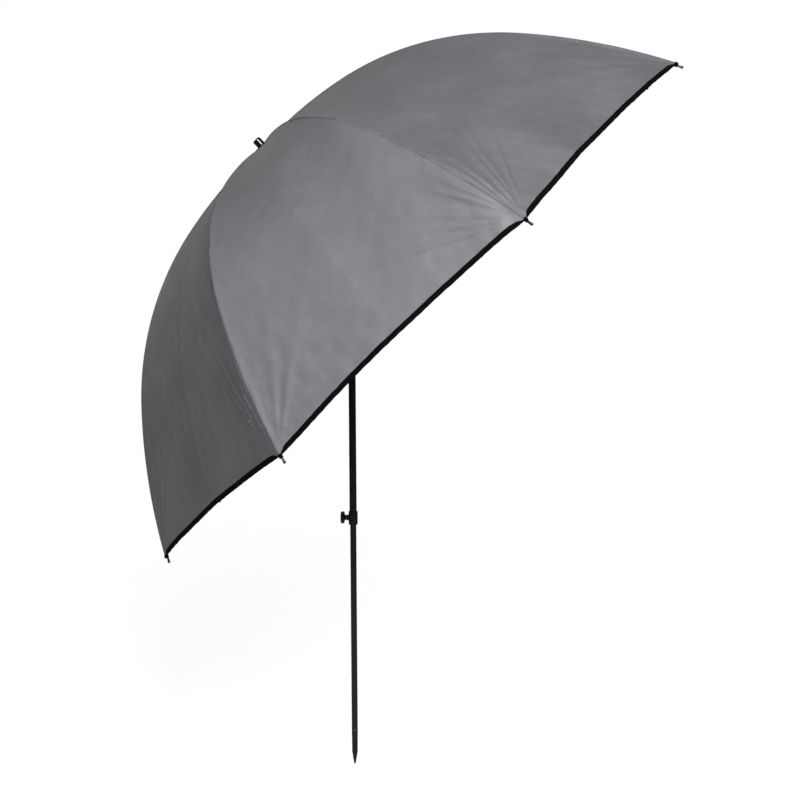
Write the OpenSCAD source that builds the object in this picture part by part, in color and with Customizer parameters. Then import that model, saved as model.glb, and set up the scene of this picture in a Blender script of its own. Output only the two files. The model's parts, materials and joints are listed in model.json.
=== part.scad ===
// Tilting ground-spike umbrella: eight-rib canopy on a two-part pole.
// The shaft of the head leans from upright about a riveted tilt knuckle.
// Origin: on the pole's axis, where the spike's parallel part meets its point.
// The crown leans towards -X, and the tilt pin runs along Y.

/* [Canopy] */
// Radius of the open canopy, from the shaft to the hem at a rib
canopy_r = 1060; // [850:10:1280]
// Slope of a rib at the hem, in degrees
hem_slope = 62; // [56:1:64]
// Thickness of the cloth panels
cloth_t = 1.5; // [1:0.1:2]
// Width of the binding along the hem
binding_w = 14; // [8:1:16]
// Diameter of the round patch at the crown
patch_d = 84; // [60:2:110]

/* [Ribs and stretchers] */
// Diameter of a rib rod
rib_d = 4; // [3.4:0.2:4.6]
// Diameter of a stretcher rod
stretcher_d = 4.5; // [3.6:0.1:4.8]
// Distance from a rib's inner joint out to its stretcher's pivot
bracket_past_joint = 36; // [25:1:110]
// Drop from the hub's pivots to the runner's when open
runner_drop = 130; // [105:5:170]

/* [Shaft and tilt] */
// Distance from the tilt pin to the top of the cloth
crown_h = 383; // [320:1:480]
// Lean of the shaft from upright as stored, in degrees
tilt = 44; // [0:1:44]
// Outer diameter of the head's shaft
shaft_d = 16; // [14:0.5:18]
// Diameter of the tilt pin
tilt_pin_d = 6; // [4:0.5:8]

/* [Pole] */
// Height of the tilt pin above the origin
pivot_h = 1605; // [1300:5:1900]
// Outer diameter of the upper tube
upper_d = 22; // [20:0.5:26]
// Wall of both pole tubes
tube_wall = 1.2; // [1:0.1:1.5]
// Length of the upper tube
upper_len = 856; // [700:1:1010]
// Overlap of the two tubes as stored
overlap = 180; // [120:5:240]
// Length of the spike's parallel part
spike_grip = 45; // [30:1:80]
// Length of the spike's point
spike_point = 40; // [30:1:90]

/* [Height clamp] */
// Outer diameter of the clamp collar
collar_d = 28; // [27:0.5:36]
// Height of the clamp collar
collar_h = 42; // [34:1:60]
// Diameter of the clamp knob
knob_d = 37; // [30:1:44]
// Diameter of the clamp stud
stud_d = 8; // [6:1:8]

/* [Hidden] */
$fn = 48;
RIBS = 8;
ONE_GAP = 0.3;                       // gap left between curved faces of different bodies
FIT = 0.05;                          // radial play of a pin or spigot that turns in its hole
EPS = 0.01;

// Each rib and gore follows three tangent arcs: a flat crown, a rounder shoulder, a straighter skirt.
half_gore = 180 / RIBS;
crown_slope = 14;
shoulder_slope = 48;
crown_bend = 1.368 * canopy_r;
shoulder_bend = 0.867 * canopy_r;
skirt_bend = (canopy_r - crown_bend * sin(crown_slope)
    - shoulder_bend * (sin(shoulder_slope) - sin(crown_slope)))
    / (sin(hem_slope) - sin(shoulder_slope));

// Centres of the three arcs as [out from the shaft, up from the crown]
crown_c = [0, -crown_bend];
shoulder_c = crown_c + (crown_bend - shoulder_bend) * [sin(crown_slope), cos(crown_slope)];
skirt_c = shoulder_c + (shoulder_bend - skirt_bend) * [sin(shoulder_slope), cos(shoulder_slope)];

function bend_centre(slope) =
    slope <= crown_slope ? crown_c : slope <= shoulder_slope ? shoulder_c : skirt_c;
function bend_radius(slope) =
    slope <= crown_slope ? crown_bend : slope <= shoulder_slope ? shoulder_bend : skirt_bend;
// Point of the canopy's profile at a slope, moved inwards by a depth
function profile(slope, depth) =
    bend_centre(slope) + (bend_radius(slope) - depth) * [sin(slope), cos(slope)];
// Slope at which the profile is a given distance from the shaft, on the crown or shoulder arc
function slope_at(r, depth) =
    let (on_crown = asin(r / (crown_bend - depth)))
    on_crown <= crown_slope ? on_crown
        : asin((r - shoulder_c[0]) / (shoulder_bend - depth));

// Hub and runner pivots
rib_depth = 8;                       // depth of a rib's centre line under the cloth's outer face
pivot_r = 18;                        // radius of the wire rings that the ribs and stretchers hang on
wire_r = 0.9;
eye_r = 4;                           // outer radius of a rib's or stretcher's eye
eye_hole_r = wire_r + ONE_GAP;
tab_t = 3;                           // thickness of the flattened ends
slot_w = tab_t + 0.8;
slot_in = pivot_r - eye_r - 1;
flange_r = 24;
flange_h = 12;
rib_start_slope = slope_at(pivot_r, rib_depth);
hub_pivot_z = crown_h + profile(rib_start_slope, rib_depth)[1];
runner_pivot_z = hub_pivot_z - runner_drop;
rod_start = 14;                      // distance from a pivot to where the round rod begins

// Stretcher bracket: the pivot hangs under the rib
bracket_r = profile(crown_slope, rib_depth)[0] + bracket_past_joint;
bracket_slope = slope_at(bracket_r, rib_depth);
bracket_drop = 13;
bracket_len = 22;
bracket_sleeve_r = rib_d / 2 + 2;
bracket_bore_r = rib_d / 2 + 0.15;   // leaves room for the rib's curve
bracket_gap = tab_t + 2.2;
cheek_t = 1.5;
open_pin_r = 1.25;
open_hole_r = open_pin_r + 2;        // play that lets eight loops fold as a tree of joints
open_eye_r = open_hole_r + 2.25;
rib_at_bracket = profile(bracket_slope, rib_depth) + [0, crown_h];
outer_pivot = profile(bracket_slope, rib_depth + bracket_drop) + [0, crown_h];
stretcher_run = outer_pivot - [pivot_r, runner_pivot_z];
stretcher_len = norm(stretcher_run);
stretcher_rise = atan2(stretcher_run[1], stretcher_run[0]);

// Sleeves that join the three lengths of a rib
joint_r = rib_d / 2 + 0.6;
joint_len = 14;
joint_inside = 5;                    // how far each rod end goes into the sleeve

// Rib tips
tip_past_hem = 20;
tip_r = 3.2;
tip_ball_r = 3.9;
tip_socket = 10;

// Cloth
seam_gap = 0.3;
cloth_hole_r = 11;
binding_extra = 0.5;                 // binding stands this far out of each face of the cloth
binding_turn = asin(binding_w / skirt_bend);
profile_step = 4;                    // degrees of slope for each flat of a panel

// Head shaft and knuckle
shaft_r = shaft_d / 2;
shaft_wall = 1.5;
shaft_bore_r = shaft_r - shaft_wall;
shaft_foot = 24;                     // height of the shaft's lower end above the tilt pin
shaft_top = crown_h + 20;
hub_top = crown_h - 2.5;
hub_bottom = hub_pivot_z - flange_h / 2;
hub_neck = 12;
hub_neck_r = shaft_r + 4;
tongue_t = 7;
tongue_r = 9;
washer_t = 1;
washer_gap = 0.15;
ear_t = 4.5;
ear_r = 10;
ear_in = tongue_t / 2 + washer_gap + washer_t;
ear_out = ear_in + ear_t;
tilt_pin_r = tilt_pin_d / 2;
pin_head_r = tilt_pin_r + 3;
pin_head_t = 2;
fork_base_top = -12;
fork_base_h = 14;
plug_len = 32;
crown_cap_r = 13;
crown_cap_h = 27;
patch_t = 1.5;

// Runner
runner_r = shaft_r + 3;
runner_bore_r = shaft_r + 0.1;
runner_below = 34;                   // length of the runner below its pivots
runner_foot_z = runner_pivot_z - runner_below;
grip_r = runner_r + 3;
grip_h = 8;
catch_w = 4;
catch_reach = 3.2;
catch_len = 26;

// Pole
upper_r = upper_d / 2;
upper_bore_r = upper_r - tube_wall;
lower_r = upper_bore_r - ONE_GAP;
lower_bore_r = lower_r - tube_wall - 0.3;
upper_top = pivot_h + fork_base_top - fork_base_h;
upper_foot = upper_top - upper_len + 8;
collar_foot = upper_foot - 8;
lower_top = collar_foot + overlap;
bush_h = 12;
bush_spigot = 30;
spike_r = lower_r - 0.5;
spike_tip_r = 2.5;
spike_shank = 50;
rivet_r = 2;

// Height clamp
collar_r = collar_d / 2;
clamp_z = collar_foot + collar_h / 2;
boss_r = 9;
boss_end = collar_r + 6;
stud_r = stud_d / 2;
pad_r = stud_r - 0.5;
pad_t = 1.6;
pad_face = lower_r + ONE_GAP;
insert_r = stud_r + 1.6;
insert_len = 7;
knob_gap = 1.5;
knob_t = 16.5;
stud_in_knob = 10.5;
stud_start = pad_face + pad_t + 0.1;
knob_neck_r = 8;
knob_neck = 4.5;

// ---- Placing ----

module at_head() {
    translate([0, 0, pivot_h])
        rotate([0, -tilt, 0])
            children();
}

// Turns the XZ plane to the plane of rib k, counted from 1
module at_rib(k) {
    at_head()
        rotate([0, 0, half_gore + (k - 1) * 2 * half_gore])
            children();
}

module along_y(length) {
    translate([0, length / 2, 0])
        rotate([90, 0, 0])
            children();
}

// Round bar in the XZ plane along the arc that holds a slope, shortened at one or both ends
module bent_rod(from_slope, to_slope, arc_slope, from_gap, to_gap) {
    centre = bend_centre(arc_slope);
    radius = bend_radius(arc_slope) - rib_depth;
    start = from_slope + asin(from_gap / radius);
    stop = to_slope - asin(to_gap / radius);
    translate([centre[0], 0, centre[1] + crown_h])
        rotate([90, 0, 0])
            rotate([0, 0, 90 - stop])
                rotate_extrude(angle = stop - start, $fn = 720)
                    translate([radius, 0])
                        circle(rib_d / 2, $fn = 36);
}

// Moves to the rib's centre line at a slope, with Z along the rib towards its tip
module along_rib(slope) {
    place = profile(slope, rib_depth);
    translate([place[0], 0, place[1] + crown_h])
        rotate([0, 90 + slope, 0])
            children();
}

// ---- Root: what stands in the ground ----

module ground_spike() {
    color("dimgray") {
        cylinder(r = spike_r, h = spike_grip);
        translate([0, 0, -spike_point])
            cylinder(r1 = spike_tip_r, r2 = spike_r, h = spike_point);
        difference() {
            translate([0, 0, spike_grip])
                cylinder(r = lower_bore_r, h = spike_shank);
            translate([0, 0, spike_grip + spike_shank / 2])
                along_y(4 * lower_r)
                    cylinder(r = rivet_r, h = 4 * lower_r);
        }
    }
}

module lower_pole() {
    color("black")
        difference() {
            translate([0, 0, spike_grip])
                cylinder(r = lower_r, h = lower_top - spike_grip);
            translate([0, 0, spike_grip - EPS])
                cylinder(r = lower_bore_r, h = lower_top - spike_grip + 2 * EPS);
            translate([0, 0, spike_grip + spike_shank / 2])
                along_y(4 * lower_r)
                    cylinder(r = rivet_r, h = 4 * lower_r);
        }
}

module spike_rivet() {
    color("silver")
        intersection() {
            translate([0, 0, spike_grip + spike_shank / 2])
                along_y(4 * lower_r)
                    cylinder(r = rivet_r, h = 4 * lower_r);
            translate([0, 0, spike_grip])
                cylinder(r = lower_r, h = spike_shank);
        }
}

// ---- Swivelling bush at the top of the lower tube ----

module pole_bush() {
    color("white") {
        translate([0, 0, lower_top + FIT])
            cylinder(r = upper_bore_r - FIT, h = bush_h);
        translate([0, 0, lower_top - bush_spigot])
            cylinder(r = lower_bore_r - FIT, h = bush_spigot + 2 * FIT);
    }
}

// ---- Upper pole and its height clamp ----

module stud_hole(r, depth) {
    translate([0, 0, clamp_z])
        rotate([0, -90, 0])
            cylinder(r = r, h = depth);
}

module upper_pole() {
    color("black")
        difference() {
            translate([0, 0, upper_foot])
                cylinder(r = upper_r, h = upper_top - upper_foot);
            translate([0, 0, upper_foot - EPS])
                cylinder(r = upper_bore_r, h = upper_top - upper_foot + 2 * EPS);
            stud_hole(stud_r + 0.5, upper_r + 1);
            translate([0, 0, upper_top - plug_len / 2])
                along_y(4 * upper_r)
                    cylinder(r = rivet_r, h = 4 * upper_r);
        }
}

module height_collar() {
    color("dimgray")
        difference() {
            union() {
                translate([0, 0, collar_foot])
                    rotate_extrude()
                        polygon([[0, 0], [collar_r - 1, 0], [collar_r, 1], [collar_r, collar_h - 2],
                            [collar_r - 2, collar_h], [0, collar_h]]);
                stud_hole(boss_r, boss_end);
            }
            translate([0, 0, collar_foot - EPS])
                cylinder(r = upper_bore_r, h = collar_h + 2 * EPS);
            translate([0, 0, upper_foot])
                cylinder(r = upper_r, h = collar_h);
            stud_hole(stud_r + 0.5, boss_end + 1);
            translate([insert_len - boss_end, 0, 0])
                stud_hole(insert_r, insert_len + 1);
        }
}

module collar_insert() {
    color("goldenrod")
        translate([insert_len - boss_end, 0, 0])
            difference() {
                stud_hole(insert_r, insert_len);
                translate([EPS, 0, 0])
                    stud_hole(stud_r + FIT, insert_len + 2 * EPS);
            }
}

// Moves along the stud's axis without turning
module clamp_pad() {
    color("white")
        translate([-pad_face, 0, 0])
            stud_hole(pad_r, pad_t);
}

module clamp_stud() {
    color("silver")
        translate([-stud_start, 0, 0])
            stud_hole(stud_r, boss_end + knob_gap + stud_in_knob - stud_start);
}

module clamp_knob() {
    knob_r = knob_d / 2;
    flute_r = 6;
    flutes = 8;
    round_r = 4;
    color("dimgray")
        translate([-boss_end - knob_gap, 0, clamp_z])
            rotate([0, -90, 0])
                difference() {
                    rotate_extrude()
                        polygon(concat(
                            [[0, 0], [knob_neck_r, 0], [knob_neck_r, knob_neck - 1],
                             [knob_r - 2, knob_neck + 1], [knob_r, knob_neck + 3]],
                            [for (a = [0:15:75])
                                [knob_r - round_r + round_r * cos(a), knob_t - round_r + round_r * sin(a)]],
                            [[knob_r - round_r, knob_t], [0, knob_t + 0.6]]));
                    for (k = [0:flutes - 1])
                        rotate([0, 0, k * 360 / flutes])
                            translate([knob_r + flute_r - 1.6, 0, knob_neck - 1])
                                cylinder(r = flute_r, h = knob_t);
                    translate([0, 0, -EPS])
                        cylinder(r = stud_r, h = stud_in_knob + EPS);
                }
}

// ---- Tilt knuckle ----

module pin_hole(r, length) {
    along_y(length)
        cylinder(r = r, h = length);
}

module tilt_fork() {
    base_z = fork_base_top - fork_base_h;
    color("dimgray")
        translate([0, 0, pivot_h])
            difference() {
                union() {
                    translate([0, 0, base_z])
                        cylinder(r = upper_r, h = fork_base_h);
                    translate([0, 0, base_z - plug_len])
                        cylinder(r = upper_bore_r, h = plug_len);
                    for (side = [-1, 1])
                        translate([0, side * (ear_in + ear_t / 2), 0]) {
                            along_y(ear_t)
                                cylinder(r = ear_r, h = ear_t);
                            translate([-ear_r, -ear_t / 2, fork_base_top - EPS])
                                cube([2 * ear_r, ear_t, -fork_base_top]);
                        }
                }
                pin_hole(tilt_pin_r, 4 * upper_r);
                translate([0, 0, base_z - plug_len / 2])
                    pin_hole(rivet_r, 4 * upper_r);
            }
}

module fork_rivet() {
    color("silver")
        translate([0, 0, upper_top - plug_len / 2])
            intersection() {
                pin_hole(rivet_r, 4 * upper_r);
                cylinder(r = upper_r, h = plug_len, center = true);
            }
}

module tilt_pin() {
    color("silver")
        translate([0, 0, pivot_h]) {
            pin_hole(tilt_pin_r, 2 * ear_out);
            for (side = [-1, 1])
                translate([0, side * (ear_out + pin_head_t / 2), 0])
                    pin_hole(pin_head_r, pin_head_t);
        }
}

module friction_washers() {
    color("white")
        translate([0, 0, pivot_h])
            for (side = [-1, 1])
                translate([0, side * (ear_in - washer_t / 2), 0])
                    difference() {
                        pin_hole(ear_r - 1, washer_t);
                        pin_hole(tilt_pin_r, 2 * washer_t);
                    }
}

module tilt_tongue() {
    shoulder = 6;
    shank = 30;
    color("dimgray")
        at_head()
            difference() {
                union() {
                    pin_hole(tongue_r, tongue_t);
                    translate([-tongue_r, -tongue_t / 2, 0])
                        cube([2 * tongue_r, tongue_t, shaft_foot - shoulder + EPS]);
                    translate([0, 0, shaft_foot - shoulder])
                        cylinder(r = shaft_r + 1.5, h = shoulder);
                    translate([0, 0, shaft_foot])
                        cylinder(r = shaft_bore_r, h = shank);
                }
                pin_hole(tilt_pin_r + FIT, 2 * tongue_t);
                translate([0, 0, shaft_foot + shank / 2])
                    pin_hole(rivet_r, 4 * shaft_r);
            }
}

module tongue_rivet() {
    color("silver")
        at_head()
            translate([0, 0, shaft_foot + 15])
                intersection() {
                    pin_hole(rivet_r, 4 * shaft_r);
                    cylinder(r = shaft_r, h = 20, center = true);
                }
}

// ---- Head: shaft, crown and cloth ----

module head_shaft() {
    color("black")
        at_head()
            difference() {
                translate([0, 0, shaft_foot])
                    cylinder(r = shaft_r, h = shaft_top - shaft_foot);
                translate([0, 0, shaft_foot - EPS])
                    cylinder(r = shaft_bore_r, h = shaft_top - shaft_foot + 2 * EPS);
                translate([0, 0, shaft_foot + 15])
                    pin_hole(rivet_r, 4 * shaft_r);
                rotate([0, 0, 90])
                    translate([0, 0, hub_bottom - hub_neck / 2])
                        pin_hole(1.5, 4 * shaft_r);
                translate([0, -catch_w / 2 - 0.5, runner_foot_z - catch_len - 3])
                    cube([shaft_r + 1, catch_w + 1, catch_len + 5]);
            }
}

// Slotted flange with a wire ring through it, centred on its pivots' height
module slotted_flange(low, high) {
    difference() {
        translate([0, 0, -low])
            cylinder(r = flange_r, h = low + high);
        for (k = [1:RIBS])
            rotate([0, 0, half_gore + (k - 1) * 2 * half_gore])
                translate([slot_in, -slot_w / 2, -low - 1])
                    cube([flange_r, slot_w, low + high + 2]);
        rotate_extrude()
            translate([pivot_r, 0])
                circle(wire_r + 0.1, $fn = 36);
    }
}

module wire_ring() {
    rotate_extrude()
        translate([pivot_r, 0])
            circle(wire_r, $fn = 36);
}

module crown_hub() {
    color("dimgray")
        at_head()
            difference() {
                union() {
                    translate([0, 0, hub_pivot_z])
                        slotted_flange(flange_h / 2, hub_top - hub_pivot_z);
                    translate([0, 0, hub_bottom - hub_neck])
                        cylinder(r = hub_neck_r, h = hub_neck + EPS);
                }
                translate([0, 0, hub_bottom - hub_neck - 1])
                    cylinder(r = shaft_r, h = hub_neck + flange_h + 10);
                rotate([0, 0, 90])
                    translate([0, 0, hub_bottom - hub_neck / 2])
                        pin_hole(1.5, 4 * shaft_r);
            }
}

module hub_wire() {
    color("silver")
        at_head()
            translate([0, 0, hub_pivot_z])
                wire_ring();
}

module hub_rivet() {
    color("silver")
        at_head()
            translate([0, 0, hub_bottom - hub_neck / 2])
                intersection() {
                    rotate([0, 0, 90])
                        pin_hole(1.5, 4 * shaft_r);
                    cylinder(r = hub_neck_r, h = hub_neck, center = true);
                }
}

module crown_patch() {
    color("black")
        at_head()
            translate([0, 0, crown_h + 0.3])
                difference() {
                    cylinder(r = patch_d / 2, h = patch_t, $fn = 72);
                    translate([0, 0, -1])
                        cylinder(r = shaft_r + 0.2, h = patch_t + 2);
                }
}

module crown_cap() {
    round_r = 5;
    color("dimgray")
        at_head()
            translate([0, 0, crown_h + 0.3 + patch_t])
                difference() {
                    rotate_extrude()
                        union() {
                            square([crown_cap_r, crown_cap_h - round_r]);
                            square([crown_cap_r - round_r, crown_cap_h]);
                            intersection() {
                                translate([crown_cap_r - round_r, crown_cap_h - round_r])
                                    circle(round_r);
                                square([crown_cap_r, crown_cap_h]);
                            }
                        }
                    translate([0, 0, -1])
                        cylinder(r = shaft_r, h = shaft_top - crown_h - 0.3 - patch_t + 1);
                }
}

// Leaf with a sloped nose that holds the runner up, seated in the shaft's slot
module catch_spring() {
    nose_z = runner_foot_z - 0.6;
    leaf_x = shaft_bore_r - 1.6;
    color("silver")
        at_head()
            translate([0, catch_w / 2, 0])
                rotate([90, 0, 0])
                    linear_extrude(height = catch_w)
                        polygon([[leaf_x, nose_z - catch_len], [shaft_bore_r - 0.8, nose_z - catch_len],
                            [shaft_r + catch_reach, nose_z - 1.5], [shaft_r + catch_reach, nose_z],
                            [leaf_x, nose_z]]);
}

// Outline of a panel's section, between two slopes and two depths.
// The gore is flat from rib to rib, so its middle lies closer to the shaft than the ribs do.
module panel_section(from_slope, to_slope, out_depth, in_depth) {
    steps = max(1, round((to_slope - from_slope) / profile_step));
    slopes = [for (i = [0:steps]) from_slope + (to_slope - from_slope) * i / steps];
    flatten = cos(half_gore);
    outside = [for (s = slopes) profile(s, out_depth)];
    inside = [for (i = [steps:-1:0]) profile(slopes[i], in_depth)];
    polygon([for (p = concat(outside, inside)) [p[0] * flatten, p[1] + crown_h]]);
}

// The wedge between two ribs, less half a seam on each side
module gore_wedge() {
    reach = 1.2 * canopy_r;
    translate([seam_gap / 2 / sin(half_gore), 0, crown_h - 1.5 * canopy_r])
        linear_extrude(height = 2 * canopy_r)
            polygon([[0, 0], [reach, -reach * tan(half_gore)], [reach, reach * tan(half_gore)]]);
}

module gore_panels(from_slope, to_slope, out_depth, in_depth) {
    for (k = [0:RIBS - 1])
        at_head()
            rotate([0, 0, k * 2 * half_gore])
                intersection() {
                    gore_wedge();
                    translate([0, canopy_r / 2, 0])
                        rotate([90, 0, 0])
                            linear_extrude(height = canopy_r)
                                panel_section(from_slope, to_slope, out_depth, in_depth);
                }
}

module canopy() {
    color("gray")
        gore_panels(slope_at(cloth_hole_r, 0), hem_slope - binding_turn, 0, cloth_t);
}

module hem_binding() {
    color("black")
        gore_panels(hem_slope - binding_turn, hem_slope, -binding_extra, cloth_t + binding_extra);
}

// ---- Runner ----

module runner() {
    color("dimgray")
        at_head()
            difference() {
                union() {
                    translate([0, 0, runner_pivot_z])
                        slotted_flange(flange_h / 2, flange_h / 2);
                    translate([0, 0, runner_foot_z])
                        cylinder(r = runner_r, h = runner_below);
                    translate([0, 0, runner_foot_z + 2])
                        cylinder(r = grip_r, h = grip_h);
                }
                translate([0, 0, runner_foot_z - 1])
                    cylinder(r = runner_bore_r, h = runner_below + flange_h);
            }
}

module runner_wire() {
    color("silver")
        at_head()
            translate([0, 0, runner_pivot_z])
                wire_ring();
}

// ---- Ribs and stretchers ----

// Flattened end with a round eye at the origin, running out along X
module eye_tab(length, r, hole_r) {
    difference() {
        union() {
            pin_hole(r, tab_t);
            translate([0, -tab_t / 2, -2])
                cube([length, tab_t, 4]);
        }
        pin_hole(hole_r, 2 * tab_t);
    }
}

module rib(k) {
    rod_slope = slope_at(pivot_r + rod_start, rib_depth);
    gap = joint_len / 2 - joint_inside;
    color("black")
        at_rib(k) {
            translate([pivot_r, 0, hub_pivot_z])
                rotate([0, rib_start_slope, 0])
                    eye_tab(rod_start + 8, eye_r, eye_hole_r);
            bent_rod(rod_slope, crown_slope, crown_slope, 0, gap);
            bent_rod(crown_slope, shoulder_slope, shoulder_slope, gap, gap);
            bent_rod(shoulder_slope, hem_slope, hem_slope, gap, -tip_socket);
            for (slope = [crown_slope, shoulder_slope])
                along_rib(slope)
                    cylinder(r = joint_r, h = joint_len, center = true);
        }
}

module rib_tip(k) {
    color("black")
        at_rib(k)
            along_rib(hem_slope)
                difference() {
                    union() {
                        cylinder(r = tip_r, h = tip_past_hem - tip_ball_r);
                        translate([0, 0, tip_past_hem - tip_ball_r])
                            sphere(tip_ball_r);
                    }
                    translate([0, 0, -1])
                        cylinder(r = rib_d / 2 + 0.1, h = tip_socket + 1.2);
                }
}

// Sleeve on the rib with two cheeks, and the pin across them
module rib_bracket(k) {
    cheek_top = -rib_d / 2 - 0.4;
    color("dimgray")
        at_rib(k)
            translate([rib_at_bracket[0], 0, rib_at_bracket[1]])
                rotate([0, bracket_slope, 0]) {
                    difference() {
                        union() {
                            translate([-bracket_len / 2, 0, 0])
                                rotate([0, 90, 0])
                                    cylinder(r = bracket_sleeve_r, h = bracket_len);
                            for (side = [-1, 1])
                                translate([0, side * (bracket_gap + cheek_t) / 2, 0]) {
                                    translate([-5, -cheek_t / 2, -bracket_drop])
                                        cube([10, cheek_t, bracket_drop + cheek_top]);
                                    translate([0, 0, -bracket_drop])
                                        pin_hole(5, cheek_t);
                                }
                        }
                        translate([-bracket_len, 0, 0])
                            rotate([0, 90, 0])
                                cylinder(r = bracket_bore_r, h = 2 * bracket_len);
                    }
                    translate([0, 0, -bracket_drop])
                        pin_hole(open_pin_r, bracket_gap + 2 * EPS);
                }
}

module stretcher(k) {
    color("silver")
        at_rib(k)
            translate([pivot_r, 0, runner_pivot_z])
                rotate([0, -stretcher_rise, 0]) {
                    eye_tab(rod_start + 8, eye_r, eye_hole_r);
                    translate([rod_start, 0, 0])
                        rotate([0, 90, 0])
                            cylinder(r = stretcher_d / 2, h = stretcher_len - 2 * rod_start);
                    translate([stretcher_len, 0, 0])
                        mirror([1, 0, 0])
                            eye_tab(rod_start + 8, open_eye_r, open_hole_r);
                }
}

ground_spike();
lower_pole();
spike_rivet();
pole_bush();
upper_pole();
height_collar();
collar_insert();
clamp_pad();
clamp_stud();
clamp_knob();
tilt_fork();
fork_rivet();
tilt_pin();
friction_washers();
tilt_tongue();
tongue_rivet();
head_shaft();
crown_hub();
hub_wire();
hub_rivet();
crown_patch();
crown_cap();
catch_spring();
canopy();
hem_binding();
runner();
runner_wire();
for (k = [1:RIBS]) {
    rib(k);
    rib_tip(k);
    rib_bracket(k);
    stretcher(k);
}
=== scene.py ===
import json
import logging
from dataclasses import dataclass, field
from enum import Enum
from math import cos, pi, radians, sin

import bpy
import numpy as np
from mathutils import Matrix, Vector


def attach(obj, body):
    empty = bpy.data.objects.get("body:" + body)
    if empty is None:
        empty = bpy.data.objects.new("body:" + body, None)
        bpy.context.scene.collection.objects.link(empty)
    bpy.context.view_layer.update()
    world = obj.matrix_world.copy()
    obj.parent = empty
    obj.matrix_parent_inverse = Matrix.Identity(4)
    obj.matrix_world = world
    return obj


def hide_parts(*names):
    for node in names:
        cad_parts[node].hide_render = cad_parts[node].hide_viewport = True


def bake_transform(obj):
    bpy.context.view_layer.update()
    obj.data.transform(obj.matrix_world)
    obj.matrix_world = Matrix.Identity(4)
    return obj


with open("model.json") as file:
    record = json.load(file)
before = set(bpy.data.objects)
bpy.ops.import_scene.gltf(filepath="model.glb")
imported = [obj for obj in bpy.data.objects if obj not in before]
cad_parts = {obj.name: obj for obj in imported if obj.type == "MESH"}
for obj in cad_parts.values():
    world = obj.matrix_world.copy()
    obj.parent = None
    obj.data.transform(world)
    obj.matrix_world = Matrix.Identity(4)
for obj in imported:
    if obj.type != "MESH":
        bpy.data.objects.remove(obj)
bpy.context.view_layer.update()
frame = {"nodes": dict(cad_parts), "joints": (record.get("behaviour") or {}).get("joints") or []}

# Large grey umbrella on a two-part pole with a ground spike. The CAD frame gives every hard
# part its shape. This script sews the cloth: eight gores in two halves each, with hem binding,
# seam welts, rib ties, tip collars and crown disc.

Array = np.ndarray
log = logging.getLogger("umbrella")

MM = 0.001
RIBS = 8
HALF_GORE = pi / RIBS


# ---------------------------------------------------------------- materials


def linear(code: str) -> tuple[float, float, float, float]:
    """Turns an sRGB hex colour to linear light.

    Args:
        code: Six hex digits with a leading #.

    Returns:
        Red, green, blue and an alpha of 1.
    """
    parts = [int(code[i : i + 2], 16) / 255 for i in (1, 3, 5)]
    light = [c / 12.92 if c <= 0.04045 else ((c + 0.055) / 1.055) ** 2.4 for c in parts]
    return light[0], light[1], light[2], 1.0


def add(tree: bpy.types.NodeTree, kind: str, inputs: dict | None = None, **settings) -> bpy.types.Node:
    """Adds one node with its settings and links.

    Args:
        tree: Node tree that takes the node.
        kind: Blender's name for the node type.
        inputs: Value or output socket for each input, by name or number.
        **settings: The node's own properties.

    Returns:
        The new node.
    """
    node = tree.nodes.new(kind)
    for name, value in settings.items():
        setattr(node, name, value)
    for name, value in (inputs or {}).items():
        if isinstance(value, bpy.types.NodeSocket):
            tree.links.new(value, node.inputs[name])
        else:
            node.inputs[name].default_value = value
    return node


class Place(Enum):
    """What a finish's pattern is laid out on."""

    OBJECT = "Object"
    UV = "UV"


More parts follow.
